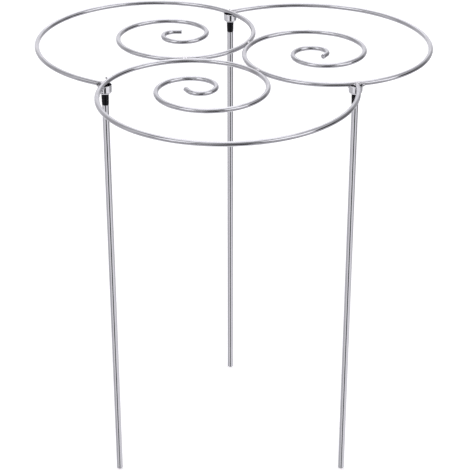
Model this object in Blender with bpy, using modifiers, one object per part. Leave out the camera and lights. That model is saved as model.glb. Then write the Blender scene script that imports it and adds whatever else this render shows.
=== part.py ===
"""Spiral plant support: three flat wire spirals joined in a ring, carried on three plug-in legs.

The ring is three-fold. Each spiral starts at one leg cup, swings round the outside, passes over
the next leg cup and winds in to its own free tip. Everything is in metres, Z is up, and the
origin is on the ground under the middle of the whole support.
"""

import math

import bmesh
import bpy
import numpy as np
from mathutils import Matrix, Vector

# Driving sizes
WIRE_DIAMETER = 0.006
TUBE_DIAMETER = 0.008
TUBE_BORE = 0.006
LEG_CIRCLE_RADIUS = 0.172
WIRE_PLANE = 0.553
GAP = 0.0003

# The three-fold axis stands a little off the origin, which is under the middle of the whole
AXIS_X = -0.0040
AXIS_Y = 0.0247

# Every leg, with the turn that carries the right-hand one onto it, in degrees
LEG_TURNS = {"right": 0.0, "back": 120.0, "left": 240.0}
RIGHT_LEG_AZIMUTH = -30.0

# Spirals are named for where they lie, and start at the cups of the right, back and left legs
SPIRAL_TURNS = {"front": 0.0, "right": 120.0, "left": 240.0}

# How the wire is bent: its radius of bend at even stations, from the outer end to the tip
BEND_RADII = (0.1655, 0.1595, 0.1440, 0.1105, 0.0830, 0.0590, 0.0130)
BENT_LENGTH = 1.172
TIP_STRAIGHT = 0.008
BEND_STEP = math.radians(6.0)

# Where the wire's end meets its neighbour over the cup, and which way it sets off
START_FROM_LEG_X = 0.0015
START_FROM_LEG_Y = -0.0032
START_HEADING = -85.9
PASSING_HEADING = -167.9

# Cup: depths are below the wire plane, radii are to its outer skin
CUP_WALL = 0.0008
CUP_RIM_DEPTH = 0.0010
CUP_RIM_RADIUS = 0.0095
CUP_BODY_RADIUS = 0.0083
CUP_FLARE_DEPTH = 0.0032
CUP_FLOOR_RADIUS = 0.0079
CUP_DEPTH = 0.0115
CUP_CORNER = 0.0022
CUP_HOLE_RADIUS = 0.0044

# Plug: a head held in the cup, a tapered collar below it and a spigot inside the tube
HEAD_TOP_DEPTH = 0.0036
HEAD_ROUNDING = 0.0008
COLLAR_TOP_RADIUS = 0.0046
COLLAR_FOOT_RADIUS = 0.0042
COLLAR_LENGTH = 0.0140
SPIGOT_LENGTH = 0.0200
SPIGOT_LEAD = 0.0008

# Leg: a thin tube, open at the top and spun shut at the foot
FOOT_THICKNESS = 0.0012
FOOT_ROUNDING = 0.0010

# How finely round shapes are drawn
WIRE_ROUNDNESS = 2
CUP_STEPS = 28
TUBE_STEPS = 24
ARC_STEPS = 3
SADDLE_STEPS = 16
SADDLE_LENGTH = 4 * CUP_RIM_RADIUS
MERGE_WITHIN = 0.00001

# How the gaps along the wires are measured; a wire's end lies beside its neighbour over the cup
SAMPLE_SPACING = 0.001
SAMPLE_STRIDE = 5
END_OVER_CUP = 6 * WIRE_DIAMETER

# Finish of each material: colour, metallic and roughness
FINISHES = {
    "drawn_wire_steel": ((0.63, 0.63, 0.66), 1.0, 0.28),
    "polished_cup_steel": ((0.70, 0.70, 0.72), 1.0, 0.15),
    "tube_steel": ((0.58, 0.58, 0.61), 1.0, 0.25),
    "black_plastic": ((0.012, 0.012, 0.013), 0.0, 0.40),
}


def clear_scene():
    """Take every object out of the open file."""
    for thing in list(bpy.data.objects):
        bpy.data.objects.remove(thing, do_unlink=True)


def new_collection(name):
    """A collection linked to the scene."""
    collection = bpy.data.collections.new(name)
    bpy.context.scene.collection.children.link(collection)
    return collection


def new_material(name):
    """A Principled BSDF material of one named finish."""
    colour, metallic, roughness = FINISHES[name]
    material = bpy.data.materials.new(name)
    material.use_nodes = True
    shader = material.node_tree.nodes["Principled BSDF"]
    shader.inputs["Base Color"].default_value = (*colour, 1.0)
    shader.inputs["Metallic"].default_value = metallic
    shader.inputs["Roughness"].default_value = roughness
    return material


def heading_vector(degrees):
    """Unit vector on the level, measured from +X towards +Y."""
    angle = math.radians(degrees)
    return Vector((math.cos(angle), math.sin(angle), 0.0))


def leg_centre(turn):
    """Centre of a leg on the ground."""
    around = RIGHT_LEG_AZIMUTH + turn
    return Vector((AXIS_X, AXIS_Y, 0.0)) + LEG_CIRCLE_RADIUS * heading_vector(around)


def bend_radius(share):
    """Radius of bend at a share of the bent length, even between its stations."""
    stations = np.linspace(0.0, 1.0, len(BEND_RADII))
    return float(np.interp(share, stations, BEND_RADII))


def spiral_line():
    """Points along the front spiral's axis, about the three-fold axis, from outer end to tip."""
    place = LEG_CIRCLE_RADIUS * heading_vector(RIGHT_LEG_AZIMUTH)
    place += Vector((START_FROM_LEG_X, START_FROM_LEG_Y, WIRE_PLANE))
    heading = START_HEADING
    points = [place.copy()]
    run = 0.0
    while run < BENT_LENGTH:
        length = min(bend_radius(run / BENT_LENGTH) * BEND_STEP, BENT_LENGTH - run)
        radius = bend_radius((run + length / 2) / BENT_LENGTH)
        half_turn = length / radius / 2
        heading -= math.degrees(half_turn)
        place = place + 2 * radius * math.sin(half_turn) * heading_vector(heading)
        heading -= math.degrees(half_turn)
        points.append(place.copy())
        run += length
    points.append(place + TIP_STRAIGHT * heading_vector(heading))
    return points


def turned_line(points, turn):
    """The line carried round the three-fold axis, and then set out from the origin."""
    about = Matrix.Rotation(math.radians(turn), 4, "Z")
    return [about @ point + Vector((AXIS_X, AXIS_Y, 0.0)) for point in points]


def samples(line):
    """Points about SAMPLE_SPACING apart along a line of straight runs."""
    found = []
    for start, end in zip(line, line[1:]):
        count = max(1, round((end - start).length / SAMPLE_SPACING))
        found += [start.lerp(end, step / count)[:] for step in range(count)]
    return np.array(found)


def least_distance(first, second):
    """Least distance between two sets of points."""
    return float(np.min(np.linalg.norm(first[:, None] - second[None], axis=2)))


def report_clearances(lines):
    """Print the least gap of a wire to itself, a half turn or more along, and to its neighbours."""
    own = samples(lines["front"])
    apart = round(math.pi * BEND_RADII[-2] / SAMPLE_SPACING)
    itself = min(
        least_distance(own[index : index + 1], own[index + apart :])
        for index in range(0, len(own) - apart, SAMPLE_STRIDE)
    )
    past_start = round(END_OVER_CUP / SAMPLE_SPACING)
    beside = min(
        least_distance(own[past_start:], samples(lines[name])[past_start:])
        for name in ("right", "left")
    )
    end_to_side = least_distance(own[:1], samples(lines["right"]))
    print(f"least gap between a spiral's turns: {(itself - WIRE_DIAMETER) * 1000:.2f} mm")
    print(f"least gap between two spirals: {(beside - WIRE_DIAMETER) * 1000:.2f} mm")
    print(f"gap from a wire's end to its neighbour: {(end_to_side - WIRE_DIAMETER / 2) * 1000:.2f} mm")


def make_spiral(name, line, material, collection):
    """A round wire with flat-cut ends along one line."""
    curve = bpy.data.curves.new(name, "CURVE")
    curve.dimensions = "3D"
    curve.bevel_depth = WIRE_DIAMETER / 2
    curve.bevel_resolution = WIRE_ROUNDNESS
    curve.use_fill_caps = True
    spline = curve.splines.new("POLY")
    spline.points.add(len(line) - 1)
    for point, place in zip(spline.points, line):
        point.co = (*place, 1.0)
    spline.use_smooth = True
    curve.materials.append(material)
    spiral = bpy.data.objects.new(name, curve)
    collection.objects.link(spiral)
    return spiral


def profile_mesh(name, profile, closed):
    """A mesh of one chain of edges through (radius, height) points."""
    mesh = bpy.data.meshes.new(name)
    chain = bmesh.new()
    corners = [chain.verts.new((radius, 0.0, height)) for radius, height in profile]
    ends = corners[1:] + (corners[:1] if closed else [])
    for start, end in zip(corners, ends):
        chain.edges.new((start, end))
    chain.to_mesh(mesh)
    chain.free()
    return mesh


def make_turned(name, profile, steps, material, collection, closed=False):
    """A turned piece: its profile, down the outer side at +X, screwed once round Z."""
    piece = bpy.data.objects.new(name, profile_mesh(name, profile, closed))
    piece.data.materials.append(material)
    collection.objects.link(piece)
    screw = piece.modifiers.new("turn", "SCREW")
    screw.axis = "Z"
    screw.angle = math.tau
    screw.steps = steps
    screw.render_steps = steps
    screw.use_merge_vertices = True
    screw.merge_threshold = MERGE_WITHIN
    screw.use_smooth_shade = True
    return piece


def corner_arc(radius, height, rounding, steps=ARC_STEPS):
    """Points round an outer lower corner that lies at (radius, height), going down and in."""
    angles = [math.radians(90.0 * step / steps) for step in range(steps + 1)]
    centre_radius = radius - rounding
    centre_height = height + rounding
    return [
        (centre_radius + rounding * math.cos(angle), centre_height - rounding * math.sin(angle))
        for angle in angles
    ]


def make_saddle_cutter(name, middle, heading, collection):
    """A round cutter that leaves the wire's place, with a small gap, in a cup's rim."""
    bpy.ops.mesh.primitive_cylinder_add(
        vertices=SADDLE_STEPS,
        radius=WIRE_DIAMETER / 2 + GAP,
        depth=SADDLE_LENGTH,
        location=middle,
        rotation=(0.0, math.radians(90.0), math.radians(heading)),
    )
    cutter = bpy.context.active_object
    cutter.name = name
    for holder in list(cutter.users_collection):
        holder.objects.unlink(cutter)
    collection.objects.link(cutter)
    cutter.hide_render = True
    cutter.display_type = "WIRE"
    return cutter


def cut(piece, cutter):
    """Take the cutter's volume out of the piece."""
    boolean = piece.modifiers.new(f"cut by {cutter.name}", "BOOLEAN")
    boolean.operation = "DIFFERENCE"
    boolean.solver = "EXACT"
    boolean.object = cutter


def make_cup(name, turn, material, parts, cutters):
    """A thin steel cup, rolled in under the plug's head, its rim saddled for the wires."""
    profile = [
        (CUP_RIM_RADIUS, -CUP_RIM_DEPTH),
        (CUP_BODY_RADIUS, -CUP_FLARE_DEPTH),
        *corner_arc(CUP_FLOOR_RADIUS, -CUP_DEPTH, CUP_CORNER),
        (CUP_HOLE_RADIUS, -CUP_DEPTH),
    ]
    cup = make_turned(name, profile, CUP_STEPS, material, parts)
    wall = cup.modifiers.new("wall", "SOLIDIFY")
    wall.thickness = CUP_WALL
    wall.offset = -1.0
    centre = leg_centre(turn) + Vector((0.0, 0.0, WIRE_PLANE))
    cup.location = centre
    cup.rotation_euler.z = math.radians(turn)

    passing = make_saddle_cutter(f"{name}_passing_saddle", centre, PASSING_HEADING + turn, cutters)
    cut(cup, passing)
    start = Vector((START_FROM_LEG_X, START_FROM_LEG_Y, 0.0))
    start.rotate(Matrix.Rotation(math.radians(turn), 3, "Z"))
    middle = centre + start + heading_vector(START_HEADING + turn) * SADDLE_LENGTH / 2
    entering = make_saddle_cutter(f"{name}_entering_saddle", middle, START_HEADING + turn, cutters)
    cut(cup, entering)
    return cup


def make_plug(name, turn, material, parts):
    """The black plug whose head fills a cup, and whose spigot carries a leg."""
    head = CUP_FLOOR_RADIUS - CUP_WALL - GAP
    floor_top = -CUP_DEPTH + CUP_WALL + GAP
    floor_foot = -CUP_DEPTH - GAP
    neck = CUP_HOLE_RADIUS - GAP
    collar_foot = floor_foot - COLLAR_LENGTH
    spigot = TUBE_BORE / 2 - GAP
    tip = collar_foot - SPIGOT_LENGTH
    profile = [
        (0.0, -HEAD_TOP_DEPTH),
        (head - HEAD_ROUNDING, -HEAD_TOP_DEPTH),
        (head, -HEAD_TOP_DEPTH - HEAD_ROUNDING),
        (head, floor_top + CUP_CORNER),
        (head - CUP_CORNER, floor_top),
        (neck, floor_top),
        (neck, floor_foot),
        (COLLAR_TOP_RADIUS, floor_foot),
        (COLLAR_FOOT_RADIUS, collar_foot),
        (spigot, collar_foot),
        (spigot, tip + SPIGOT_LEAD),
        (spigot - SPIGOT_LEAD, tip),
        (0.0, tip),
    ]
    plug = make_turned(name, profile, TUBE_STEPS, material, parts)
    plug.location = leg_centre(turn) + Vector((0.0, 0.0, WIRE_PLANE))
    return plug


def make_leg(name, turn, material, parts):
    """A thin steel tube that pushes up over a plug's spigot and stands on its closed foot."""
    radius = TUBE_DIAMETER / 2
    bore = TUBE_BORE / 2
    top = WIRE_PLANE - CUP_DEPTH - COLLAR_LENGTH - 2 * GAP
    profile = [
        (bore, top),
        (radius, top),
        *corner_arc(radius, 0.0, FOOT_ROUNDING),
        (0.0, 0.0),
        (0.0, FOOT_THICKNESS),
        (bore, FOOT_THICKNESS),
    ]
    leg = make_turned(name, profile, TUBE_STEPS, material, parts, closed=True)
    leg.location = leg_centre(turn)
    return leg


def main():
    """Build the support: three spirals, and a cup, a plug and a leg under each joint."""
    clear_scene()
    parts = new_collection("spiral_plant_support")
    cutters = new_collection("cutters")
    wire_steel = new_material("drawn_wire_steel")
    cup_steel = new_material("polished_cup_steel")
    tube_steel = new_material("tube_steel")
    black_plastic = new_material("black_plastic")

    line = spiral_line()
    lines = {name: turned_line(line, turn) for name, turn in SPIRAL_TURNS.items()}
    for name, turned in lines.items():
        make_spiral(f"spiral_{name}", turned, wire_steel, parts)
    for name, turn in LEG_TURNS.items():
        make_cup(f"cup_{name}", turn, cup_steel, parts, cutters)
        make_plug(f"plug_{name}", turn, black_plastic, parts)
        make_leg(f"leg_{name}", turn, tube_steel, parts)
    report_clearances(lines)


main()
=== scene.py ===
"""Spiral plant support, dressed: fine wires, cups, plugs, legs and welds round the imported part.

Three wires are bent flat into spirals and welded in a ring. A pressed cup hangs under each joint,
a black plug is held in each cup, and a bright tube pushes up over each plug. Metres and degrees.
"""

import logging
import math
from collections.abc import Callable
from dataclasses import dataclass, field
from enum import Enum
from typing import ClassVar

import bmesh
import bpy
import numpy as np
from mathutils import Matrix, Vector

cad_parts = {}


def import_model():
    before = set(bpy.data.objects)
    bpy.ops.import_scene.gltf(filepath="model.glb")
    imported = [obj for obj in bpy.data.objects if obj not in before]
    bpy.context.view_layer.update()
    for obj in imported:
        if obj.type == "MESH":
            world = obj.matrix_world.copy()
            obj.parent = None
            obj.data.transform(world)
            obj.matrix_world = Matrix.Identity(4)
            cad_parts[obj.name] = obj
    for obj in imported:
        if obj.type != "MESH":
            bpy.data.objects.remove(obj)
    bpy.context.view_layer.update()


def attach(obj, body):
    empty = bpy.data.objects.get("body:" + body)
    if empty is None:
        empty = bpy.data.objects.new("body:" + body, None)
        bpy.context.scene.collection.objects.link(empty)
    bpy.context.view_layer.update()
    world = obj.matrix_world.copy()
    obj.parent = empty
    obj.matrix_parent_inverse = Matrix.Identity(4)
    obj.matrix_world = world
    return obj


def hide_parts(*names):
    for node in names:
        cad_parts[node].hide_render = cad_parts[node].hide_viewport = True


log = logging.getLogger("plant_support")

Piece = bpy.types.Object
Socket = bpy.types.NodeSocket
Pair = tuple[float, float]
Triple = tuple[float, float, float]
Colour = tuple[float, float, float, float]
Wave = tuple[float, float, float]

UP = Vector((0.0, 0.0, 1.0))
HAIR = 1e-6


class Joint(Enum):
    """A place where one wire starts, its neighbour passes over, and a leg stands."""

    RIGHT = 0
    BACK = 1
    LEFT = 2

    @property
    def turn(self) -> float:
        """Turn about the ring's middle from the right-hand joint, in degrees."""
        return 120.0 * self.value

    def named(self, pattern: str) -> str:
        """A name with this joint's side, or the spiral that starts at it, filled in."""
        spiral = ("front", "right", "left")[self.value]
        return pattern.format(side=self.name.lower(), spiral=spiral)


@dataclass(frozen=True)
class Layout:
    """Where the ring stands, the same numbers as the part's own."""

    axis: Pair = (-0.0040, 0.0247)
    leg_circle: float = 0.172
    wire_plane: float = 0.553
    right_azimuth: float = -30.0
    start_offset: Pair = (0.0015, -0.0032)
    start_heading: float = -85.9
    passing_heading: float = -167.9

    @property
    def middle(self) -> Vector:
        """The ring's middle, in the plane of the wires."""
        return Vector((*self.axis, self.wire_plane))

    @property
    def leg_point(self) -> Vector:
        """Point over the right-hand leg, in the plane of the wires."""
        return self.middle + self.leg_circle * heading_vector(self.right_azimuth)

    @property
    def start_point(self) -> Vector:
        """Where the wire that starts at the right-hand joint has its cut end."""
        return self.leg_point + Vector((*self.start_offset, 0.0))

    @property
    def starting(self) -> Vector:
        """Heading of the wire that starts at the right-hand joint."""
        return heading_vector(self.start_heading)

    @property
    def passing(self) -> Vector:
        """Heading of the wire that passes over the right-hand joint."""
        return heading_vector(self.passing_heading)

    @property
    def outward(self) -> Vector:
        """Level direction away from the passing wire, on the side where the other wire starts."""
        return heading_vector(self.passing_heading + 90.0)

    def turned(self, joint: Joint) -> Matrix:
        """Turn about the ring's middle that carries the right-hand joint onto another."""
        about = Matrix.Rotation(math.radians(joint.turn), 4, "Z")
        return Matrix.Translation(self.middle) @ about @ Matrix.Translation(-self.middle)

    def set_round(
        self, first: Piece, name: str, slot: str, node: str = "", body: str = "ring"
    ) -> list[Piece]:
        """Copy the right-hand joint's piece to the other joints, attach all three to their bodies and
        hide the part's nodes that they replace.

        The name, node and body may have {side} or {spiral} in them, for each joint to fill in.

        Args:
            first: The finished piece of the right-hand joint.
            name: The name of each piece.
            slot: The material slot that they take their finish from; not used.
            node: The part's node that each replaces, if they replace any.
            body: The body that each rides.

        Returns:
            The pieces in the joints' order.
        """
        pieces = [first]
        for joint in (Joint.BACK, Joint.LEFT):
            pieces.append(Bench.copy(first, joint.named(name), self.turned(joint)))
        for joint, piece in zip(Joint, pieces):
            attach(piece, joint.named(body))
            if node:
                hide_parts(joint.named(node))
        return pieces


def heading_vector(degrees: float) -> Vector:
    """Unit vector on the level, turned from +X towards +Y.

    Args:
        degrees: The heading.

    Returns:
        The unit vector.
    """
    angle = math.radians(degrees)
    return Vector((math.cos(angle), math.sin(angle), 0.0))


class Bench:
    """Blender's own modelling tools, in the order a modeller uses them."""

    bead_rounding: ClassVar[int] = 4
    drop_rounding: ClassVar[int] = 4
    drop_squash: ClassVar[Triple] = (1.06, 0.94, 0.86)

    @staticmethod
    def clear() -> None:
        """Leave edit mode and let go of everything that is selected."""
        if bpy.context.mode != "OBJECT":
            bpy.ops.object.mode_set(mode="OBJECT")
        bpy.ops.object.select_all(action="DESELECT")

    @staticmethod
    def take(piece: Piece) -> None:
        """Make one piece the only one selected.

        Args:
            piece: The piece to be worked on.
        """
        Bench.clear()
        piece.select_set(True)
        bpy.context.view_layer.objects.active = piece

    @staticmethod
    def edit_all() -> None:
        """Open the active piece in edit mode with all of it selected."""
        bpy.ops.object.mode_set(mode="EDIT")
        bpy.ops.mesh.select_all(action="SELECT")

    @staticmethod
    def settle() -> Piece:
        """Put the active piece's place, turn and scale in its mesh."""
        bpy.ops.object.transform_apply(location=True, rotation=True, scale=True)
        return bpy.context.active_object

    @staticmethod
    def extrude(shift: Vector) -> None:
        """Extrude what is selected, and move the new end."""
        bpy.ops.mesh.extrude_region_move(TRANSFORM_OT_translate={"value": shift})

    @staticmethod
    def ring(name: str, radius: float, centre: Vector, sides: int, facing: Vector = UP) -> Piece:
        """Add an open circle, leave it selected in edit mode, and name its object.

        Args:
            name: Name of the new piece.
            radius: Radius of the circle.
            centre: Its centre.
            sides: How many sides it has.
            facing: The circle's axis.

        Returns:
            The new object.
        """
        Bench.clear()
        turn = UP.rotation_difference(facing).to_euler()
        bpy.ops.mesh.primitive_circle_add(
            vertices=sides, radius=radius, location=centre, rotation=turn, fill_type="NOTHING"
        )
        piece = Bench.settle()
        piece.name = name
        Bench.edit_all()
        return piece

    @staticmethod
    def turned(name: str, profile: list[Pair], foot: Vector, sides: int) -> Piece:
        """Draw a ring out along a profile, as on a lathe, and close it where it meets the axis.

        Args:
            name: Name of the new piece.
            profile: Radius and height of each ring in turn.
            foot: Point on the axis that the heights are counted from.
            sides: How many sides the piece has.

        Returns:
            The new object, in object mode.
        """
        (radius, height), *others = [point for point in profile if point[0] > 0.0]
        piece = Bench.ring(name, radius, foot + height * UP, sides)
        for wider, higher in others:
            Bench.extrude((higher - height) * UP)
            grow = wider / radius
            bpy.ops.transform.resize(value=(grow, grow, grow), center_override=foot + higher * UP)
            radius, height = wider, higher
        for tip, beside in ((profile[-1], profile[-2]), (profile[0], profile[1])):
            if tip[0] == 0.0:
                Bench.close_on_axis(piece, foot + tip[1] * UP, beside[1] + foot.z)
        bpy.ops.object.mode_set(mode="OBJECT")
        return piece

    @staticmethod
    def close_on_axis(piece: Piece, tip: Vector, ring_height: float) -> None:
        """Extrude an open ring to a point on the axis and merge it there.

        Args:
            piece: The piece in edit mode.
            tip: The point on the axis.
            ring_height: Height of the open ring.
        """
        Bench.pick_edges(
            piece,
            lambda edge: edge.is_boundary
            and all(abs(vertex.co.z - ring_height) < HAIR for vertex in edge.verts),
        )
        Bench.extrude(Vector())
        mesh = bmesh.from_edit_mesh(piece.data)
        for vertex in mesh.verts:
            if vertex.select:
                vertex.co = tip
        bmesh.update_edit_mesh(piece.data)
        bpy.ops.mesh.merge(type="COLLAPSE")

    @staticmethod
    def pick_edges(piece: Piece, wanted: Callable[[bmesh.types.BMEdge], bool]) -> None:
        """Select the edges that a test names, and nothing else.

        Args:
            piece: The piece in edit mode.
            wanted: A test of one edge.
        """
        bpy.ops.mesh.select_all(action="DESELECT")
        bpy.ops.mesh.select_mode(type="EDGE")
        mesh = bmesh.from_edit_mesh(piece.data)
        for edge in mesh.edges:
            edge.select_set(bool(wanted(edge)))
        bmesh.update_edit_mesh(piece.data)

    @staticmethod
    def cut(piece: Piece, tool: Piece) -> None:
        """Take a tool's volume out of a piece, and the tool away.

        Args:
            piece: The piece that is cut.
            tool: The closed shape that cuts it.
        """
        Bench.take(piece)
        boolean = piece.modifiers.new("cut", "BOOLEAN")
        boolean.operation = "DIFFERENCE"
        boolean.solver = "EXACT"
        boolean.object = tool
        bpy.ops.object.modifier_apply(modifier=boolean.name)
        bpy.data.objects.remove(tool, do_unlink=True)

    @staticmethod
    def bead(name: str, path: list[Vector], radii: list[float], closed: bool = False) -> Piece:
        """Lay a round bead of changing thickness along a path.

        Args:
            name: Name of the new piece.
            path: The bead's middle.
            radii: The bead's radius at each point.
            closed: Whether it runs on from its end to its start.

        Returns:
            The bead as a mesh.
        """
        curve = bpy.data.curves.new(name, "CURVE")
        curve.dimensions = "3D"
        curve.bevel_depth = 1.0
        curve.bevel_resolution = Bench.bead_rounding
        curve.use_fill_caps = not closed
        line = curve.splines.new("POLY")
        line.points.add(len(path) - 1)
        for point, place, radius in zip(line.points, path, radii):
            point.co, point.radius = (*place, 1.0), radius
        line.use_cyclic_u = closed
        piece = bpy.data.objects.new(name, curve)
        bpy.context.collection.objects.link(piece)
        Bench.take(piece)
        bpy.ops.object.convert(target="MESH")
        return bpy.context.active_object

    @staticmethod
    def drop(place: Vector, size: float) -> Piece:
        """Add a drop of metal, a little squashed.

        Args:
            place: Its middle.
            size: Its radius.

        Returns:
            The drop.
        """
        Bench.clear()
        bpy.ops.mesh.primitive_ico_sphere_add(
            subdivisions=Bench.drop_rounding, radius=size, location=place
        )
        piece = Bench.settle()
        Bench.reshape(piece, place, Bench.drop_squash)
        return piece

    @staticmethod
    def reshape(piece: Piece, centre: Vector, scale: Triple) -> None:
        """Scale a whole piece about a point.

        Args:
            piece: The piece.
            centre: The point that stays.
            scale: The scale along X, Y and Z.
        """
        Bench.take(piece)
        Bench.edit_all()
        bpy.ops.transform.resize(value=scale, center_override=centre)
        bpy.ops.object.mode_set(mode="OBJECT")

    @staticmethod
    def join(name: str, parts: list[Piece]) -> Piece:
        """Join parts into one piece.

        Args:
            name: The piece's name.
            parts: Its parts, two or more.

        Returns:
            The piece.
        """
        Bench.take(parts[0])
        for part in parts:
            part.select_set(True)
        bpy.ops.object.join()
        piece = bpy.context.active_object
        piece.name = piece.data.name = name
        return piece

    @staticmethod
    def finish(piece: Piece, smooth_under: float = 35.0) -> Piece:
        """Merge doubles, turn every face outwards and smooth the shallow edges.

        Args:
            piece: The piece, in object mode.
            smooth_under: Edges flatter than this are smoothed.

        Returns:
            The same piece.
        """
        Bench.take(piece)
        Bench.edit_all()
        bpy.ops.mesh.remove_doubles(threshold=HAIR)
        bpy.ops.mesh.normals_make_consistent(inside=False)
        bpy.ops.object.mode_set(mode="OBJECT")
        bpy.ops.object.shade_smooth_by_angle(angle=math.radians(smooth_under))
        return piece

    @staticmethod
    def copy(piece: Piece, name: str, placed: Matrix) -> Piece:
        """Copy a finished piece with its own mesh, and put the copy's place in its mesh.

        Args:
            piece: The piece to copy.
            name: The copy's name.
            placed: Where the copy goes, from where the piece is.

        Returns:
            The copy.
        """
        Bench.take(piece)
        bpy.ops.object.duplicate()
        twin = bpy.context.active_object
        twin.name = twin.data.name = name
        twin.matrix_world = placed
        return Bench.settle()

    @staticmethod
    def write(piece: Piece, name: str, values: np.ndarray) -> None:
        """Write a number or a vector for each point of a piece, for its finish to read.

        Args:
            piece: The piece.
            name: The attribute's name.
            values: A row for each point.
        """
        kind, part = (("FLOAT", "value"), ("FLOAT_VECTOR", "vector"))[values.ndim - 1]
        attribute = piece.data.attributes.new(name, kind, "POINT")
        attribute.data.foreach_set(part, values.astype(np.float32).ravel())


class Number:
    """A shader number that adds its Math nodes as it is used in sums."""

    def __init__(self, nodes: "Nodes", socket: Socket) -> None:
        """Wrap the output socket of a tree that gives the number."""
        self.nodes = nodes
        self.socket = socket

    def _math(self, operation: str, *values: object) -> "Number":
        """Add one Math node over some values, in order."""
        node = self.nodes.node("ShaderNodeMath", {"operation": operation}, dict(enumerate(values)))
        return Number(self.nodes, node.outputs[0])

    def __add__(self, other: object) -> "Number":
        """This plus another."""
        return self._math("ADD", self, other)

    __radd__ = __add__

    def __sub__(self, other: object) -> "Number":
        """This less another."""
        return self._math("SUBTRACT", self, other)

    def __rsub__(self, other: object) -> "Number":
        """Another less this."""
        return self._math("SUBTRACT", other, self)

    def __mul__(self, other: object) -> "Number":
        """This times another."""
        return self._math("MULTIPLY", self, other)

    __rmul__ = __mul__

    def __abs__(self) -> "Number":
        """This without its sign."""
        return self._math("ABSOLUTE", self)

    def bearing(self, ahead: object) -> "Number":
        """Angle in radians of a direction with this much across and so much ahead."""
        return self._math("ARCTAN2", self, ahead)

    def slope(self) -> "Number":
        """Elevation of a direction that rises this much, in radians."""
        return self._math("ARCSINE", self)

    def past(self, degrees: float) -> "Number":
        """How far this angle is past another by the shorter way round, in radians."""
        return self._math("WRAP", self - math.radians(degrees), math.pi, -math.pi)

    def within(self, degrees: float, soft: float) -> "Number":
        """1 where this angle is under a limit, 0 beyond it, fading by so much on either side."""
        return 1.0 - self.fade(math.radians(degrees - soft), math.radians(degrees + soft))

    def between(self, first: object, second: object) -> "Number":
        """The first number where this is 0, the second where it is 1."""
        return self * second + (1.0 - self) * first

    def fade(self, low: float, high: float) -> "Number":
        """0 below low, 1 above high and smooth between.

        Args:
            low: Where it starts.
            high: Where it ends.

        Returns:
            The faded number.
        """
        node = self.nodes.node(
            "ShaderNodeMapRange",
            {"interpolation_type": "SMOOTHSTEP"},
            {"Value": self, "From Min": low, "From Max": high, "To Min": 0.0, "To Max": 1.0},
        )
        return Number(self.nodes, node.outputs["Result"])


class Nodes:
    """One node tree, all but its Math nodes added by one method."""

    def __init__(self, tree: bpy.types.NodeTree) -> None:
        """Take hold of a node tree."""
        self.tree = tree

    def node(self, kind: str, settings: dict, inputs: dict) -> bpy.types.Node:
        """Add a node.

        Args:
            kind: The node's type.
            settings: Its own settings, set first.
            inputs: The value or link of each input, by name or place.

        Returns:
            The node.
        """
        node = self.tree.nodes.new(kind)
        for name, value in settings.items():
            setattr(node, name, value)
        for name, value in inputs.items():
            self.feed(node.inputs[name], value)
        return node

    def feed(self, socket: Socket, value: object) -> None:
        """Set an input to a value, or link it.

        Args:
            socket: The input.
            value: A number, colour, vector, output socket or Number.
        """
        if isinstance(value, Number):
            value = value.socket
        if isinstance(value, Socket):
            self.tree.links.new(value, socket)
        else:
            socket.default_value = value


@dataclass(frozen=True)
class Layer:
    """Noise in a finish: features per metre, finer layers and their strength, and how it dulls."""

    scale: Triple
    detail: float = 3.0
    rough: float = 0.5
    dulls: float = 0.0


class Shader(Nodes):
    """The nodes of one material."""

    def __init__(self, name: str, metallic: float) -> None:
        """Start a material.

        Args:
            name: The material's name.
            metallic: How metallic it is all over.
        """
        self.material = bpy.data.materials.new(name)
        self.material.use_nodes = True
        super().__init__(self.material.node_tree)
        self.surface = self.tree.nodes["Principled BSDF"]
        self.surface.inputs["Metallic"].default_value = metallic

    def object_place(self) -> Socket:
        """The place of a point, in the part's own frame."""
        return self.node("ShaderNodeTexCoord", {}, {}).outputs["Object"]

    def attribute(self, name: str, output: str) -> Socket:
        """What one attribute of the piece says, as a Vector or a Fac."""
        return self.node("ShaderNodeAttribute", {"attribute_name": name}, {}).outputs[output]

    def noise(self, place: Socket, layer: Layer) -> Number:
        """Soft noise from 0 to 1.

        Args:
            place: Where it is read.
            layer: What it is like.

        Returns:
            The noise.
        """
        sizes = {0: place, 1: layer.scale}
        scaled = self.node("ShaderNodeVectorMath", {"operation": "MULTIPLY"}, sizes).outputs[0]
        inputs = {"Vector": scaled, "Scale": 1.0, "Detail": layer.detail, "Roughness": layer.rough}
        return Number(self, self.node("ShaderNodeTexNoise", {}, inputs).outputs["Fac"])

    def blend(self, share: Number, first: object, second: object, way: str = "MIX") -> Socket:
        """Mix two colours.

        Args:
            share: How much of the second.
            first: The first colour, or a link to it.
            second: The second colour, or a link to it.
            way: How they are mixed.

        Returns:
            The mixed colour.
        """
        node = self.node("ShaderNodeMix", {"data_type": "RGBA", "blend_type": way}, {})
        factor, left, right = (node.inputs[index] for index in (0, 6, 7))
        self.feed(factor, share)
        self.feed(left, first)
        self.feed(right, second)
        return node.outputs[2]

    def bump(self, height: Number, strength: float, depth: float) -> None:
        """Give the surface a relief, shown at a strength and so many metres deep."""
        inputs = {"Strength": strength, "Distance": depth, "Height": height}
        self.feed(self.surface.inputs["Normal"], self.node("ShaderNodeBump", {}, inputs).outputs[0])

    def dress(self, colour: object, roughness: object) -> bpy.types.Material:
        """Set the two things that vary on every finish.

        Args:
            colour: The base colour.
            roughness: The roughness.

        Returns:
            The finished material.
        """
        self.feed(self.surface.inputs["Base Color"], colour)
        self.feed(self.surface.inputs["Roughness"], roughness)
        return self.material


def grey(value: float, cool: float = 0.0) -> Colour:
    """A grey, a little blue.

    Args:
        value: How light it is.
        cool: How much more blue than red it has.

    Returns:
        The colour.
    """
    return (value, value, value + cool, 1.0)


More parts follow.
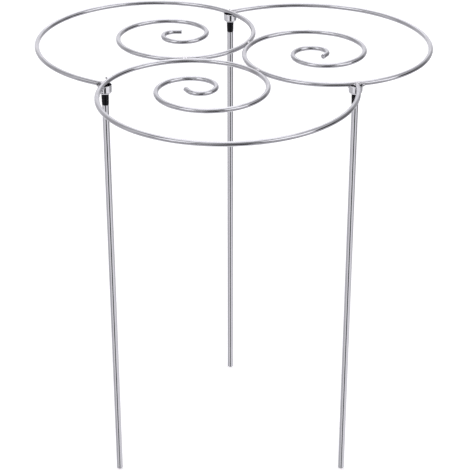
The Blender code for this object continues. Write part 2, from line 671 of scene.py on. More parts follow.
@dataclass(frozen=True)
class PatternedSteel:
    """Steel with a fine pattern, which also stands in its relief, over a broad one."""

    name: str
    light: Colour
    dark: Colour
    contrast: Pair
    fine: Layer
    broad: Layer
    fine_share: float
    roughness: float
    relief: Pair

    def patterned(self, shader: Shader, place: Socket) -> tuple[Socket, Number]:
        """Lay both patterns on a material.

        Args:
            shader: The material.
            place: Where the patterns are read.

        Returns:
            The base colour and the roughness that they give.
        """
        fine, broad = shader.noise(place, self.fine), shader.noise(place, self.broad)
        mottle = fine * self.fine_share + broad * (1.0 - self.fine_share)
        shader.bump(fine, *self.relief)
        roughness = self.roughness + (fine * self.fine.dulls + broad * self.broad.dulls)
        return shader.blend(mottle.fade(*self.contrast), self.dark, self.light), roughness


@dataclass(frozen=True)
class DrawnWire(PatternedSteel):
    """Bright drawn wire: streaks along the wire, soft blotches, duller beside a weld."""

    name: str = "drawn_wire_steel"
    light: Colour = grey(0.66, 0.02)
    dark: Colour = grey(0.55, 0.02)
    contrast: Pair = (0.32, 0.68)
    fine: Layer = Layer((45.0, 1500.0, 1500.0), 4.0, 0.6, dulls=0.10)
    broad: Layer = Layer((90.0, 220.0, 220.0), 2.0, dulls=0.08)
    fine_share: float = 0.55
    roughness: float = 0.03
    relief: Pair = (0.10, 0.00004)
    heated: Pair = (0.002, 0.014)
    heat_tint: Colour = (0.82, 0.80, 0.78, 1.0)
    heat_strength: float = 0.5
    heat_dulls: float = 0.12

    def material(self) -> bpy.types.Material:
        """Make the finish, which reads the wire's unbent place and its distance from a weld.

        Returns:
            The material.
        """
        shader = Shader(self.name, metallic=1.0)
        steel, roughness = self.patterned(shader, shader.attribute("unbent_place", "Vector"))
        heat = 1.0 - Number(shader, shader.attribute("weld_distance", "Fac")).fade(*self.heated)
        tinted = shader.blend(heat * self.heat_strength, steel, self.heat_tint, "MULTIPLY")
        return shader.dress(tinted, roughness + heat * self.heat_dulls)


@dataclass(frozen=True)
class BrightTube(PatternedSteel):
    """Bright steel tube: fine lines along the tube, faint smears and a few rubbed places."""

    name: str = "bright_tube_steel"
    light: Colour = grey(0.79, 0.02)
    dark: Colour = grey(0.69, 0.025)
    contrast: Pair = (0.3, 0.7)
    fine: Layer = Layer((1400.0, 1400.0, 9.0), 4.0, 0.6, dulls=0.07)
    broad: Layer = Layer((90.0, 90.0, 24.0), dulls=0.08)
    fine_share: float = 0.6
    roughness: float = 0.04
    relief: Pair = (0.08, 0.00004)
    rubs: Layer = Layer((400.0, 400.0, 150.0), 2.0, dulls=0.07)
    rubbed: Pair = (0.62, 0.75)

    def material(self) -> bpy.types.Material:
        """Make the finish.

        Returns:
            The material.
        """
        shader = Shader(self.name, metallic=1.0)
        place = shader.object_place()
        colour, roughness = self.patterned(shader, place)
        rubs = shader.noise(place, self.rubs).fade(*self.rubbed)
        return shader.dress(colour, roughness + rubs * self.rubs.dulls)


@dataclass(frozen=True)
class PressedSteel(PatternedSteel):
    """Polished pressed steel: rings from polishing, soft clouds, and crimp marks darkened partly by dirt
    and partly by painted shade.
    """

    name: str = "pressed_cup_steel"
    light: Colour = grey(0.92, 0.01)
    dark: Colour = grey(0.80, 0.02)
    contrast: Pair = (0.35, 0.7)
    fine: Layer = Layer((120.0, 120.0, 5200.0), 3.0, 0.6, dulls=0.08)
    broad: Layer = Layer((260.0, 260.0, 260.0), dulls=0.10)
    fine_share: float = 0.4
    roughness: float = 0.02
    relief: Pair = (0.10, 0.00003)
    # Near-black colour of the crimp marks: dirt and painted shade in their hollows.
    dirt: Colour = grey(0.06, 0.01)
    dirt_and_shade_cover: float = 0.85
    dirt_dulls: float = 0.30

    def material(self) -> bpy.types.Material:
        """Make the finish, which reads where the crimp marks are.

        Returns:
            The material.
        """
        shader = Shader(self.name, metallic=1.0)
        steel, roughness = self.patterned(shader, shader.object_place())
        marks = Number(shader, shader.attribute("crimp_mark", "Fac"))
        # Darken the crimp marks: partly dirt, partly painted shade in the hollows of the marks.
        colour = shader.blend(marks * self.dirt_and_shade_cover, steel, self.dirt)
        return shader.dress(colour, roughness + marks * self.dirt_dulls)


@dataclass(frozen=True)
class WeldSteel:
    """Weld metal: bright ripples with random dull, darker patches, partly soot and partly painted shade
    standing in for the crevices round the beads.
    """

    name: str = "weld_steel"
    light: Colour = grey(0.84, 0.01)
    dark: Colour = grey(0.12, 0.01)
    ripples: Layer = Layer((700.0, 700.0, 700.0))
    # Noise of the dark patches: partly soot, partly painted crevice shade.
    soot_and_shade: Layer = Layer((520.0, 520.0, 520.0), 4.0, 0.65, dulls=0.25)
    soot_and_shade_contrast: Pair = (0.48, 0.60)
    dulled: Pair = (0.45, 0.7)
    roughness: float = 0.10
    relief: Pair = (0.7, 0.00045)

    def material(self) -> bpy.types.Material:
        """Make the finish.

        Returns:
            The material.
        """
        shader = Shader(self.name, metallic=1.0)
        place = shader.object_place()
        soot_and_shade = shader.noise(place, self.soot_and_shade)
        shader.bump(shader.noise(place, self.ripples), *self.relief)
        # The dark patches are partly soot, partly painted shade standing in for the crevices.
        colour = shader.blend(soot_and_shade.fade(*self.soot_and_shade_contrast), self.light, self.dark)
        return shader.dress(colour, self.roughness + soot_and_shade.fade(*self.dulled) * self.soot_and_shade.dulls)


@dataclass(frozen=True)
class BlackPlastic:
    """Black moulded plastic: a fine grain, faint flow marks along it, and lighter streaks along it,
    partly scuffs and partly a painted highlight sheen.
    """

    black: Colour = grey(0.0018, 0.0020)
    # Grey of the lighter streaks: scuffs and painted highlight.
    scuff_and_sheen_grey: Colour = grey(0.045, 0.012)
    grain: Layer = Layer((5200.0, 5200.0, 5200.0), 2.0, dulls=0.08)
    flow: Layer = Layer((900.0, 900.0, 60.0), dulls=0.10)
    scuffs_and_sheen: Layer = Layer((1300.0, 1300.0, 160.0), 4.0, 0.7, dulls=0.15)
    scuff_and_sheen_contrast: Pair = (0.56, 0.72)
    scuff_and_sheen_cover: float = 0.6
    grain_share: float = 0.2
    sheen: float = 0.20
    roughness: float = 0.16
    relief: Pair = (0.5, 0.00016)

    def material(self) -> bpy.types.Material:
        """Make the finish.

        Returns:
            The material.
        """
        shader = Shader("black_plastic", metallic=0.0)
        place = shader.object_place()
        grain, flow = shader.noise(place, self.grain), shader.noise(place, self.flow)
        # Lighter streaks stretched along the plug: partly scuffs, partly painted highlight.
        scuffs_and_sheen = shader.noise(place, self.scuffs_and_sheen).fade(*self.scuff_and_sheen_contrast)
        colour = shader.blend(scuffs_and_sheen * self.scuff_and_sheen_cover, self.black, self.scuff_and_sheen_grey)
        shader.bump(grain * self.grain_share + flow * (1.0 - self.grain_share), *self.relief)
        shader.surface.inputs["Specular IOR Level"].default_value = self.sheen
        dullness = grain * self.grain.dulls + flow * self.flow.dulls + scuffs_and_sheen * self.scuffs_and_sheen.dulls
        return shader.dress(colour, self.roughness + dullness)


@dataclass
class SpiralWire:
    """A round wire bent flat into a spiral, and its two neighbours round the ring."""

    layout: Layout
    radius: float = 0.003
    sides: int = 28
    bend_radii: tuple[float, ...] = (0.1655, 0.1595, 0.1440, 0.1105, 0.0830, 0.0590, 0.0130)
    bent_length: float = 1.172
    tip_straight: float = 0.008
    bend_step: float = math.radians(6.0)
    facets_per_step: int = 3
    into_neighbour: float = 0.0012
    tip_bevel: float = 0.00045
    tip_bevel_steps: int = 3
    pattern_shift: float = 3.0
    centres_at_joint: int = 8
    centres: list[Vector] = field(default_factory=list)

    def build(self) -> list[Piece]:
        """Bend one wire, copy it round the ring and dress the three.

        Returns:
            The wires, in the order of the joints that they start at.
        """
        wire = self.bend()
        self.measure(wire)
        wire.data.materials.append(DrawnWire().material())
        wires = self.layout.set_round(wire, "wire_{side}", "wire", "spiral_{spiral}")
        for number, each in enumerate(wires):
            self.shift_pattern(each, self.pattern_shift * number)
        return wires

    def bend_at(self, run: float) -> float:
        """Radius of bend at a run along the bent length, from the outer end."""
        stations = np.linspace(0.0, 1.0, len(self.bend_radii))
        return float(np.interp(run / self.bent_length, stations, self.bend_radii))

    def bend(self) -> Piece:
        """Spin the wire's end round one short arc after another, as a bender does.

        Returns:
            The bent wire, closed at both ends.
        """
        heading = self.layout.start_heading
        start = self.layout.start_point
        butt = start - self.into_neighbour * self.layout.starting
        piece = Bench.ring("wire_right", self.radius, butt, self.sides, self.layout.starting)
        Bench.extrude(start - butt)
        self.centres = [butt, start]
        run = 0.0
        while run < self.bent_length:
            length = min(self.bend_at(run) * self.bend_step, self.bent_length - run)
            radius = self.bend_at(run + length / 2)
            turn = length / radius
            centre = self.centres[-1] + radius * heading_vector(heading - 90.0)
            bpy.ops.mesh.spin(steps=self.facets_per_step, angle=turn, center=centre, axis=UP)
            for facet in range(1, self.facets_per_step + 1):
                part = math.degrees(turn) * facet / self.facets_per_step
                self.centres.append(centre - radius * heading_vector(heading - 90.0 - part))
            heading -= math.degrees(turn)
            run += length
        straight = self.tip_straight * heading_vector(heading)
        Bench.extrude(straight)
        tip = self.centres[-1] + straight
        self.centres.append(tip)
        Bench.pick_edges(piece, lambda edge: edge.is_boundary or edge.is_wire)
        bpy.ops.mesh.fill_holes(sides=0)
        Bench.pick_edges(
            piece,
            lambda edge: len(edge.link_faces) == 2
            and any(len(face.verts) > 4 for face in edge.link_faces)
            and (edge.verts[0].co - tip).length < 2 * self.radius,
        )
        bpy.ops.mesh.bevel(offset=self.tip_bevel, segments=self.tip_bevel_steps, affect="EDGES")
        bpy.ops.object.mode_set(mode="OBJECT")
        return Bench.finish(piece)

    def measure(self, wire: Piece) -> None:
        """Write each point's unbent place and its distance from the nearest weld.

        Args:
            wire: The right-hand joint's wire.
        """
        centres = np.array([centre[:] for centre in self.centres])
        runs = np.concatenate([[0.0], np.cumsum(np.linalg.norm(np.diff(centres, axis=0), axis=1))])
        points = np.array([vertex.co[:] for vertex in wire.data.vertices])
        nearest = np.array([np.argmin(np.sum((centres - point) ** 2, axis=1)) for point in points])
        ahead = np.clip(nearest + 1, 1, len(centres) - 1)
        along = centres[ahead] - centres[ahead - 1]
        along /= np.linalg.norm(along, axis=1)[:, None]
        off = points - centres[nearest]
        lengthwise = np.sum(off * along, axis=1)
        sideways = off[:, 0] * -along[:, 1] + off[:, 1] * along[:, 0]
        unbent = np.column_stack([runs[nearest] + lengthwise, sideways, off[:, 2]])
        Bench.write(wire, "unbent_place", unbent)
        touch = self.touch_point()[0]
        welds = [self.layout.turned(joint) @ self.layout.start_point for joint in Joint]
        welds += [touch, self.layout.turned(Joint.LEFT) @ touch]
        gaps = [np.linalg.norm(points - np.array(weld[:]), axis=1) for weld in welds]
        Bench.write(wire, "weld_distance", np.min(gaps, axis=0))

    @staticmethod
    def shift_pattern(wire: Piece, shift: float) -> None:
        """Slide the unbent place along the wire, so that no two wires have the same marks.

        Args:
            wire: The wire.
            shift: How far it slides.
        """
        data = wire.data.attributes["unbent_place"].data
        values = np.zeros(len(data) * 3, np.float32)
        data.foreach_get("vector", values)
        values[0::3] += shift
        data.foreach_set("vector", values)

    def touch_point(self) -> tuple[Vector, Vector]:
        """Find where the front spiral comes closest to the right one.

        Returns:
            The point midway between their axes, and the heading of the groove there.
        """
        own = np.array([centre[:] for centre in self.centres[self.centres_at_joint:]])
        turn = np.array(self.layout.turned(Joint.BACK))
        other = own @ turn[:3, :3].T + turn[:3, 3]
        gaps = np.linalg.norm(own[:, None] - other[None], axis=2)
        first, second = np.unravel_index(int(np.argmin(gaps)), gaps.shape)
        between = Vector(other[second] - own[first]).normalized()
        return Vector((own[first] + other[second]) / 2), Vector((-between.y, between.x, 0.0))


def rippled(angle: float, waves: tuple[Wave, ...], index: int = 1) -> float:
    """Sum of a few waves, for the ripples of a bead.

    Args:
        angle: The place along the bead, in radians.
        waves: Height, pace and lag of each wave.
        index: The bead's number, which multiplies the lags.

    Returns:
        The sum.
    """
    return sum(height * math.sin(pace * angle + lag * index) for height, pace, lag in waves)


@dataclass
class Welds:
    """Weld metal: where a wire butts its neighbour, on the cups' rims and between the spirals."""

    layout: Layout
    wires: SpiralWire
    smooth_under: float = 60.0
    feather: float = 0.00002
    butt_width: Pair = (0.0019, 0.00145)
    butt_loop: Pair = (0.00325, 0.00203)
    butt_bead: float = 0.00095
    butt_steps: int = 90
    butt_waves: tuple[Wave, ...] = ((0.05, 19.0, 0.0), (0.05, 3.0, 1.0))
    butt_calm_on_top: float = 0.8
    butt_full_at_sides: float = 0.25
    rim_radii: tuple[Pair, ...] = ((-0.0046, 0.0085), (-0.0010, 0.0088))
    rim_clearance: float = 0.0003
    rim_bead: float = 0.00085
    rim_fullness: Triple = (1.25, 0.95, 1.05)
    rim_steps: int = 40
    rim_arc: float = 78.0
    rim_from_axis: float = 0.0031
    rim_waves: tuple[Wave, ...] = ((0.08, 11.0, 2.0), (0.10, 4.0, 1.0))
    rim_bluntness: float = 0.45
    passing_bend: float = 0.145
    touch_length: float = 0.0085
    touch_size: Pair = (0.00125, 0.00075)
    touch_rise: float = 0.00215
    touch_steps: int = 16
    touch_waves: tuple[Wave, ...] = ((0.06, 14.0, 0.0),)
    burnt_under: float = 0.0012
    # Each drop's place upstream on the passing wire, outward from it and up, and its radius.
    drops: ClassVar[dict[Joint, tuple[tuple[float, ...], ...]]] = {
        Joint.RIGHT: ((0.0088, 0.0034, -0.0012, 0.0016), (0.0052, 0.0044, 0.0004, 0.0010)),
        Joint.BACK: ((0.0050, 0.0038, 0.0018, 0.0009), (0.0024, 0.0036, 0.0016, 0.0008)),
        Joint.LEFT: (
            (0.0056, 0.0049, 0.0018, 0.0009), (-0.0155, 0.0041, 0.0014, 0.0011),
            (0.0046, 0.0050, -0.0008, 0.0013), (0.0040, 0.0066, -0.0016, 0.0011),
            (0.0034, 0.0084, 0.0002, 0.0010), (0.0030, 0.0062, 0.0017, 0.0013),
            (0.0048, 0.0040, 0.0014, 0.0011),
        ),
    }

    def build(self) -> list[Piece]:
        """Lay the welds of one joint and of one touch, copy them round the ring and spatter it.

        Returns:
            The weld pieces.
        """
        bright = WeldSteel().material()
        burnt = WeldSteel("burnt_spatter", grey(0.20, 0.01), grey(0.05, 0.01), roughness=0.30).material()
        pieces = []
        kinds = {"weld_joint_{side}": self.joint_weld, "weld_touch_{side}": self.touch_weld}
        for name, lay in kinds.items():
            weld = Bench.join(Joint.RIGHT.named(name), lay())
            weld.data.materials.append(bright)
            Bench.finish(weld, self.smooth_under)
            pieces += self.layout.set_round(weld, name, "wire")
        for joint in Joint:
            spatter = Bench.finish(self.spatter(joint, bright, burnt), self.smooth_under)
            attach(spatter, "ring")
            pieces.append(spatter)
        return pieces

    def joint_weld(self) -> list[Piece]:
        """All the beads of the right-hand joint."""
        return [self.butt_weld(), *self.rim_welds()]

    def butt_weld(self) -> Piece:
        """Lay a rippled bead all round the end of the starting wire, against its neighbour.

        Returns:
            The bead.
        """
        starting, start = self.layout.starting, self.layout.start_point
        across = heading_vector(self.layout.start_heading + 90.0)
        away = (start - self.layout.leg_point).dot(self.layout.outward)
        reach = starting.dot(self.layout.outward)
        path, radii = [], []
        for step in range(self.butt_steps):
            angle = math.tau * step / self.butt_steps
            side, top = math.sin(angle), math.cos(angle)
            distance = self.butt_width[0] + self.butt_width[1] * side**2
            on_axis = start + (distance - away) / reach * starting
            path.append(on_axis + self.butt_loop[0] * side * across + self.butt_loop[1] * top * UP)
            ripple = rippled(angle, self.butt_waves) * (1.0 - self.butt_calm_on_top * abs(top))
            radii.append(self.butt_bead * (1.0 + ripple + self.butt_full_at_sides * side**2))
        return Bench.bead("butt_weld", path, radii, closed=True)

    def rim_welds(self) -> list[Piece]:
        """Lay a bead under each wire, where it crosses the cup's rim.

        Returns:
            The beads.
        """
        leg, passing = self.layout.leg_point, self.layout.passing
        crossings = ((leg, -passing), (leg, passing), (self.layout.start_point, self.layout.starting))
        return [self.rim_weld(*crossing, index) for index, crossing in enumerate(crossings)]

    def rim_weld(self, on_axis: Vector, along: Vector, index: int) -> Piece:
        """Lay one bead in an arc round a wire's underside, outside the cup's wall.

        Args:
            on_axis: A point on the wire's axis.
            along: The wire's heading, out of the cup.
            index: The bead's number, which sets its fullness and its ripples.

        Returns:
            The bead.
        """
        leg, sideways = self.layout.leg_point, Vector((-along.y, along.x, 0.0))
        heights, reaches = zip(*self.rim_radii)
        is_passing = on_axis == leg  # Its axis goes over the leg, and the other wire's doesn't.
        full = self.rim_bead * self.rim_fullness[index]
        path, radii = [], []
        for step in range(self.rim_steps + 1):
            share = step / self.rim_steps
            angle = math.radians(self.rim_arc * (2.0 * share - 1.0))
            off = self.rim_from_axis * (math.sin(angle) * sideways - math.cos(angle) * UP)
            rim = float(np.interp(off.z, heights, reaches)) + self.rim_clearance
            level = (on_axis + off - leg) * Vector((1.0, 1.0, 0.0))
            onward = level.dot(along)
            reach = math.sqrt(max(onward**2 - level.length_squared + rim**2, 0.0)) - onward
            bow = is_passing * reach**2 / (2.0 * self.passing_bend)
            path.append(on_axis + off + reach * along - bow * self.layout.outward)
            ends = math.sin(math.pi * share) ** self.rim_bluntness if 0.0 < share < 1.0 else 0.0
            radii.append(full * (1.0 + rippled(angle, self.rim_waves, index)) * ends + self.feather)
        return Bench.bead(f"rim_weld_{index}", path, radii)

    def touch_weld(self) -> list[Piece]:
        """Lay short beads in the groove above and below, where two spirals touch.

        Returns:
            The two beads.
        """
        point, groove = self.wires.touch_point()
        width, height = self.touch_size
        beads = []
        for rise in (self.touch_rise * UP, -self.touch_rise * UP):
            path, radii = [], []
            for step in range(-self.touch_steps, self.touch_steps + 1):
                share = step / self.touch_steps
                path.append(point + share * self.touch_length / 2 * groove + rise)
                full = math.sqrt(max(1.0 - share**2, 0.0))
                radii.append(width * full * (1.0 + rippled(share, self.touch_waves)) + self.feather)
            beads.append(Bench.bead("touch_bead", path, radii))
            Bench.reshape(beads[-1], point + rise, (1.0, 1.0, height / width))
        return beads

    def spatter(self, joint: Joint, bright: bpy.types.Material, burnt: bpy.types.Material) -> Piece:
        """Stick drops of weld metal beside a joint, a different few at each.

        Args:
            joint: The joint.
            bright: The finish of the big drops.
            burnt: The finish of the small ones.

        Returns:
            The drops, as one piece.
        """
        beads = []
        for upstream, out, height, size in self.drops[joint]:
            off = out * self.layout.outward - upstream * self.layout.passing + height * UP
            drop = Bench.drop(self.layout.turned(joint) @ (self.layout.leg_point + off), size)
            drop.data.materials.append(burnt if size < self.burnt_under else bright)
            beads.append(drop)
        return Bench.join(joint.named("weld_spatter_{side}"), beads)


def arc(centre: Pair, radius: float, start: float, end: float, steps: int) -> list[Pair]:
    """Points of a profile round a corner, with angles from outwards (0) to up (90).

    Args:
        centre: Radius and height of the corner's centre.
        radius: Radius of the corner.
        start: The first angle.
        end: The last angle.
        steps: How many steps lie between them.

    Returns:
        Radius and height of each point.
    """
    angles = [math.radians(start + (end - start) * step / steps) for step in range(steps + 1)]
    return [(centre[0] + radius * math.cos(a), centre[1] + radius * math.sin(a)) for a in angles]


def round_wall(line: list[Pair], wall: float) -> list[Pair]:
    """Profile of a sheet of even thickness along a line, with both edges rounded.

    Args:
        line: Radius and height along the sheet's middle.
        wall: The sheet's thickness.

    Returns:
        The closed profile; its last point is its first.
    """
    middle = np.array(line)
    along = np.gradient(middle, axis=0)
    along /= np.linalg.norm(along, axis=1)[:, None]
    off = np.column_stack([along[:, 1], -along[:, 0]]) * wall / 2
    half = [math.radians(angle) for angle in (30.0, 60.0, 90.0, 120.0, 150.0)]
    far = [middle[-1] + math.cos(a) * off[-1] + math.sin(a) * along[-1] * wall / 2 for a in half]
    near = [middle[0] - math.cos(a) * off[0] - math.sin(a) * along[0] * wall / 2 for a in half]
    points = [*(middle + off), *far, *(middle - off)[::-1], *near, middle[0] + off[0]]
    return [(float(radius), float(height)) for radius, height in points]


@dataclass
class Cups:
    """The pressed cups: flared rim saddled round the wires, rolled-in floor, two crimp marks."""

    layout: Layout
    sides: int = 96
    wall: float = 0.0009
    depth: float = 0.0115
    corner: float = 0.0026
    corner_steps: int = 9
    floor_radius: float = 0.0083
    floor_edge: float = 0.0048
    flare: tuple[Pair, ...] = ((0.0079, -0.0085), (0.0081, -0.0045), (0.0083, -0.00125))
    flare_points: int = 9
    saddle_reach: float = 0.014
    saddle_back: Pair = (1.0, 0.3)
    saddle_play: float = 0.00006
    crimp_azimuth: float = 13.0
    crimp_depths: Pair = (0.0059, 0.0094)
    crimp_radius: float = 0.00095
    crimp_press: float = 0.00060
    crimp_rounding: tuple[int, int] = (24, 14)
    dirt_and_shade_spread: float = 1.03
    smooth_under: float = 42.0

    def build(self, wires: list[Piece]) -> list[Piece]:
        """Press one cup, saddle it round its wires, and copy it to the other joints.

        Args:
            wires: The wire that starts at each joint.

        Returns:
            The three cups.
        """
        profile = round_wall(self.middle_line(), self.wall)
        cup = Bench.turned("pressed_cup_right", profile, self.layout.leg_point, self.sides)
        Bench.finish(cup)
        started, passed = wires[Joint.RIGHT.value], wires[Joint.BACK.value]
        Bench.cut(cup, self.saddle(passed, self.layout.passing, self.saddle_back[0]))
        Bench.cut(cup, self.saddle(started, self.layout.starting, self.saddle_back[1]))
        for depth in self.crimp_depths:
            Bench.cut(cup, self.crimp(depth))
        cup.data.materials.append(PressedSteel().material())
        Bench.finish(cup, self.smooth_under)
        self.mark(cup)
        return self.layout.set_round(cup, "pressed_cup_{side}", "cup", "cup_{side}")

    def middle_line(self) -> list[Pair]:
        """Middle of the cup's wall, from the edge of the hole in its floor up to its rim.

        Returns:
            Radius and height of each point.
        """
        turn = (self.floor_radius - self.corner, self.corner - self.depth)
        line = [(self.floor_edge, self.wall / 2 - self.depth)]
        line += arc(turn, self.corner - self.wall / 2, -90.0, 0.0, self.corner_steps)
        low, bend, rim = (np.array(point) for point in self.flare)
        for share in np.linspace(0.0, 1.0, self.flare_points):
            point = (1 - share) ** 2 * low + 2 * share * (1 - share) * bend + share**2 * rim
            line.append((float(point[0]), float(point[1])))
        return line

    def saddle(self, wire: Piece, along: Vector, back: float) -> Piece:
        """Make the shape of a wire's stretch over the cup, a hair wider than the wire.

        Args:
            wire: The wire.
            along: The wire's heading there.
            back: How much of the reach is kept against the heading.

        Returns:
            The cutting shape.
        """
        leg = self.layout.leg_point
        tool = Bench.copy(wire, "saddle_tool", Matrix())
        Bench.take(tool)
        for reach, way in ((self.saddle_reach, along), (self.saddle_reach * back, -along)):
            Bench.edit_all()
            bpy.ops.mesh.bisect(
                plane_co=leg + reach * way, plane_no=way, clear_outer=True, use_fill=True
            )
        bpy.ops.mesh.select_all(action="SELECT")
        bpy.ops.transform.shrink_fatten(value=self.saddle_play)
        bpy.ops.object.mode_set(mode="OBJECT")
        return tool

    def punched(self, depth: float) -> Vector:
        """Middle of the crimping punch when it is all the way in.

        Args:
            depth: How far below the wires its mark is.

        Returns:
            The middle.
        """
        radii, heights = zip(*self.middle_line()[self.corner_steps + 1:])
        surface = self.wall / 2 + float(np.interp(-depth, heights, radii))
        reach = surface + self.crimp_radius - self.crimp_press
        return self.layout.leg_point + reach * heading_vector(self.crimp_azimuth) - depth * UP

    def crimp(self, depth: float) -> Piece:
        """Make the ball-nosed punch that leaves one crimp mark.

        Args:
            depth: How far below the wires the mark is.

        Returns:
            The punch.
        """
        Bench.clear()
        round_it, rings = self.crimp_rounding
        bpy.ops.mesh.primitive_uv_sphere_add(
            segments=round_it, ring_count=rings, radius=self.crimp_radius, location=self.punched(depth)
        )
        return bpy.context.active_object

    def mark(self, cup: Piece) -> None:
        """Write which points lie in a crimp mark, for the finish to darken with dirt and painted shade.

        Args:
            cup: The right-hand joint's cup.
        """
        middles = [self.punched(depth) for depth in self.crimp_depths]
        gaps = [min((vertex.co - m).length for m in middles) for vertex in cup.data.vertices]
        # Points this near a punch's middle are darkened by dirt and painted shade.
        Bench.write(cup, "crimp_mark", np.array(gaps) < self.dirt_and_shade_spread * self.crimp_radius)


@dataclass
class Plugs:
    """The black plugs: a head that fills the cup, a tapered collar below it, and a spigot."""

    layout: Layout
    sides: int = 72
    head_top: float = 0.0036
    head_radius: float = 0.0070
    head_edge: float = 0.0005
    head_corner: float = 0.0016
    head_hold: float = 0.0004
    dish_radius: float = 0.0046
    dish_depth: float = 0.0005
    dish_slope: float = 0.0004
    lip: Pair = (0.0056, 0.0004)
    floor_top: float = 0.01065
    floor_foot: float = 0.0117
    neck_radius: float = 0.0042
    collar_top: float = 0.0046
    collar_bottom: float = 0.0042
    collar_end: float = 0.0258
    collar_edge: float = 0.0003
    collar_hold: Pair = (0.00002, 0.0008)
    spigot_radius: float = 0.0028
    spigot_end: float = 0.0458
    spigot_chamfer: float = 0.0002
    tip_taper: Pair = (0.0009, 0.0010)
    tip_edge: float = 0.0005
    smooth_under: float = 30.0

    def build(self) -> list[Piece]:
        """Mould one plug and copy it to the other joints.

        Returns:
            The three plugs.
        """
        plug = Bench.turned("moulded_plug_right", self.profile(), self.layout.leg_point, self.sides)
        plug.data.materials.append(BlackPlastic().material())
        Bench.finish(plug, self.smooth_under)
        return self.layout.set_round(plug, "moulded_plug_{side}", "plug", "plug_{side}")

    def profile(self) -> list[Pair]:
        """Draw the plug's profile, from the dished top of its head to the tip of its spigot.

        Returns:
            Radius and height of each point.
        """
        head, soft, corner, edge = self.head_radius, self.head_edge, self.head_corner, self.collar_edge
        top, floor, neck, end = -self.head_top, -self.floor_top, -self.floor_foot, -self.collar_end
        lip, lip_edge = self.lip
        inset, hold = self.collar_hold
        spigot, chamfer, tip = self.spigot_radius, self.spigot_chamfer, -self.spigot_end
        return [
            (0.0, top - self.dish_depth),
            (self.dish_radius, top - self.dish_depth),
            (self.dish_radius + self.dish_slope, top - lip_edge),
            *arc((lip, top - lip_edge), lip_edge, 135.0, 90.0, 2),
            *arc((head - soft, top - soft), soft, 90.0, 0.0, 4),
            (head, floor + corner + self.head_hold),
            *arc((head - corner, floor + corner), corner, 0.0, -90.0, 6),
            (self.neck_radius, floor),
            (self.neck_radius, neck),
            *arc((self.collar_top - edge, neck - edge), edge, 90.0, 0.0, 3),
            (self.collar_top - inset, neck - hold),
            (self.collar_bottom + inset, end + hold),
            *arc((self.collar_bottom - edge, end + edge), edge, 0.0, -90.0, 3),
            (spigot + chamfer, end),
            (spigot, end - chamfer),
            (spigot, tip + self.tip_taper[1]),
            *arc((spigot - self.tip_taper[0], tip + self.tip_edge), self.tip_edge, 20.0, -90.0, 4),
            (0.0, tip),
        ]


@dataclass
class Legs:
    """The bright tubes, closed and softly rounded at the foot, open where they push over a plug."""

    layout: Layout
    sides: int = 72
    radius: float = 0.004
    bore: float = 0.003
    top: float = 0.5269
    wall_rings: int = 24
    first_ring: float = 0.02
    foot_rounding: float = 0.0010
    foot_dish: Pair = (0.00015, 0.00008)
    foot_rim: float = 0.0009
    foot_thickness: float = 0.0012
    foot_fillet: float = 0.0006
    edge_rounding: float = 0.0002
    holds: Pair = (0.0006, 0.0003)
    smooth_under: float = 32.0

    def build(self) -> list[Piece]:
        """Draw one tube, close its foot and copy it to the other joints.

        Returns:
            The three legs.
        """
        foot = self.layout.leg_point * Vector((1.0, 1.0, 0.0))
        leg = Bench.turned("tube_leg_right", self.profile(), foot, self.sides)
        leg.data.materials.append(BrightTube().material())
        Bench.finish(leg, self.smooth_under)
        return self.layout.set_round(leg, "tube_leg_{side}", "tube", "leg_{side}", "{side} leg")

    def profile(self) -> list[Pair]:
        """Draw the tube's profile, from under its foot up the outside and down the bore.

        Returns:
            Radius and height of each point.
        """
        soft, edge, fillet, top = self.foot_rounding, self.edge_rounding, self.foot_fillet, self.top
        heights = np.linspace(self.first_ring, top - self.first_ring, self.wall_rings)
        return [
            (0.0, self.foot_dish[0]),
            (self.radius - soft - self.foot_rim, self.foot_dish[1]),
            *arc((self.radius - soft, soft), soft, -90.0, 0.0, 8),
            (self.radius, soft + self.holds[0]),
            *[(self.radius, height) for height in heights.tolist()],
            (self.radius, top - edge - self.holds[1]),
            *arc((self.radius - edge, top - edge), edge, 0.0, 90.0, 3),
            *arc((self.bore + edge, top - edge), edge, 90.0, 180.0, 3),
            *arc((self.bore - fillet, self.foot_thickness + fillet), fillet, 0.0, -90.0, 4),
            (0.0, self.foot_thickness + 0.00001),
        ]


@dataclass(frozen=True)
class Panel:
    """A softly edged light, or a black flag, in the studio; angles in degrees.

    Azimuth 0 is towards the camera and 90 to its right; each size is from the middle to the edge.
    """

    azimuth: float
    half_width: float
    side_fade: float
    elevation: float
    half_height: float
    top_fade: float
    level: float


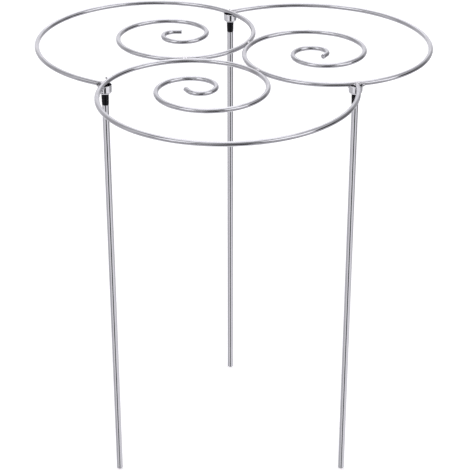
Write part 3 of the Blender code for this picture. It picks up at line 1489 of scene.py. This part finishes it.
@dataclass(frozen=True)
class Studio:
    """A white floor, soft light round it and the camera."""

    layout: Layout
    focal_pixels: float = 1550.0
    image_pixels: float = 470.0
    sensor: float = 36.0
    distance: float = 1.9281
    elevation: float = 20.570
    pan: float = -0.176
    tilt: float = -6.505
    roll: float = 0.009
    floor_size: float = 30.0
    floor_grey: Colour = grey(0.80)
    floor_roughness: float = 0.9
    floor_glow: float = 0.45
    tint: Colour = (0.965, 0.955, 1.0, 1.0)
    room: float = 0.70
    panels: tuple[Panel, ...] = (
        # Below all round, overhead, and behind the object with a bright patch high up.
        Panel(0, 260, 5, -81, 26, 5, 0.98),
        Panel(0, 260, 5, 87, 27, 4, 1.42),
        Panel(177, 33, 8, 3, 64, 6, 1.04),
        Panel(179, 14, 8, 43, 14, 6, 2.10),
        # Grey at the back, on the left and on the right.
        Panel(-110, 14, 10, 13, 41, 4, 0.50),
        Panel(131, 26, 8, 9, 41, 7, 0.52),
        # Low in front: a black strip, a pale one above it, and grey on the left.
        Panel(14, 78, 10, -48, 9, 5, 0.00),
        Panel(9, 99, 6, -31, 6, 3, 0.86),
        Panel(-68, 26, 6, -33, 8, 4, 0.50),
        # Level with the object, in front: dark, with a black flag on each side.
        Panel(7, 84, 8, -4, 8, 3, 0.08),
        Panel(-26, 12, 4, -4, 13, 3, 0.00),
        Panel(38, 10, 5, -6, 12, 3, 0.00),
        # Lights above that: two on the right and two on the left.
        Panel(50, 17, 5, 23, 18, 3, 1.70),
        Panel(71, 12, 5, 12, 13, 4, 1.95),
        Panel(-43, 15, 5, 25, 21, 3, 1.60),
        Panel(-73, 10, 6, 19, 15, 5, 0.95),
        # A black strip high in front, and grey between the lights.
        Panel(-14, 90, 8, 57, 7, 5, 0.00),
        Panel(15, 17, 7, 25, 24, 4, 0.38),
        # Dark on the right, and below and above the level in front.
        Panel(107, 24, 6, -2, 24, 6, 0.20),
        Panel(90, 12, 4, -4, 17, 6, 0.06),
        Panel(7, 17, 3, -26, 12, 4, 0.03),
        Panel(21, 21, 6, 6, 6, 4, 0.02),
        # Pale low in front, on the left and on the right.
        Panel(-34, 16, 5, -24, 10, 3, 0.86),
        Panel(50, 20, 5, -23, 9, 3, 0.90),
    )

    def build(self) -> None:
        """Set the floor, the light and the camera."""
        self.floor()
        self.light()
        self.camera()

    def floor(self) -> None:
        """Lay a plain floor, nearly white."""
        Bench.clear()
        bpy.ops.mesh.primitive_plane_add(size=self.floor_size)
        floor = bpy.context.active_object
        floor.name = "floor"
        shader = Shader("floor_white", metallic=0.0)
        shader.surface.inputs["Specular IOR Level"].default_value = 0.0
        shader.surface.inputs["Emission Strength"].default_value = self.floor_glow
        shader.feed(shader.surface.inputs["Emission Color"], grey(1.0))
        floor.data.materials.append(shader.dress(self.floor_grey, self.floor_roughness))
        floor.visible_glossy = False

    def light(self) -> None:
        """Light the room evenly, and lay each panel over the ones before it."""
        world = bpy.data.worlds.new("studio")
        bpy.context.scene.world = world
        bpy.context.scene.view_settings.view_transform = "Standard"
        world.use_nodes = True
        room = Nodes(world.node_tree)
        towards = room.node("ShaderNodeTexCoord", {}, {}).outputs["Generated"]
        parts = room.node("ShaderNodeSeparateXYZ", {}, {"Vector": towards}).outputs
        across, ahead, height = (Number(room, parts[name]) for name in "XYZ")
        azimuth, elevation = across.bearing(ahead * -1.0), height.slope()
        level = self.room
        for panel in self.panels:
            aside = abs(azimuth.past(panel.azimuth)).within(panel.half_width, panel.side_fade)
            aloft = abs(elevation.past(panel.elevation)).within(panel.half_height, panel.top_fade)
            level = (aside * aloft).between(level, panel.level)
        shine = room.tree.nodes["Background"]
        room.feed(shine.inputs["Color"], self.tint)
        room.feed(shine.inputs["Strength"], level)

    def camera(self) -> None:
        """Stand the camera where the photograph was taken from."""
        rise = math.radians(self.elevation)
        eye = self.distance * Vector((0.0, -math.cos(rise), math.sin(rise)))
        ahead, right = -eye.normalized(), Vector((1.0, 0.0, 0.0))
        up = right.cross(ahead)
        pan = Matrix.Rotation(math.radians(self.pan), 3, up)
        ahead, right = pan @ ahead, pan @ right
        tilt = Matrix.Rotation(math.radians(self.tilt), 3, right)
        ahead, up = tilt @ ahead, tilt @ up
        roll = Matrix.Rotation(math.radians(self.roll), 3, ahead)
        right, up = roll @ right, roll @ up
        camera = bpy.data.objects.new("camera", bpy.data.cameras.new("camera"))
        bpy.context.collection.objects.link(camera)
        turn = Matrix((right, up, -ahead)).transposed().to_4x4()
        camera.matrix_world = Matrix.Translation(self.layout.middle + eye) @ turn
        camera.data.sensor_width = self.sensor
        camera.data.lens = self.sensor * self.focal_pixels / self.image_pixels
        bpy.context.scene.camera = camera


def main() -> None:
    """Build every sub-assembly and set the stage."""
    logging.basicConfig(level=logging.INFO, format="%(name)s: %(message)s")
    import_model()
    layout = Layout()
    spiral = SpiralWire(layout)
    wires = spiral.build()
    pieces = [*wires, *Cups(layout).build(wires), *Plugs(layout).build(), *Legs(layout).build()]
    pieces += Welds(layout, spiral).build()
    for piece in pieces:
        log.info("%s: %d faces", piece.name, len(piece.data.polygons))
    Studio(layout).build()


if __name__ == "__main__":
    main()
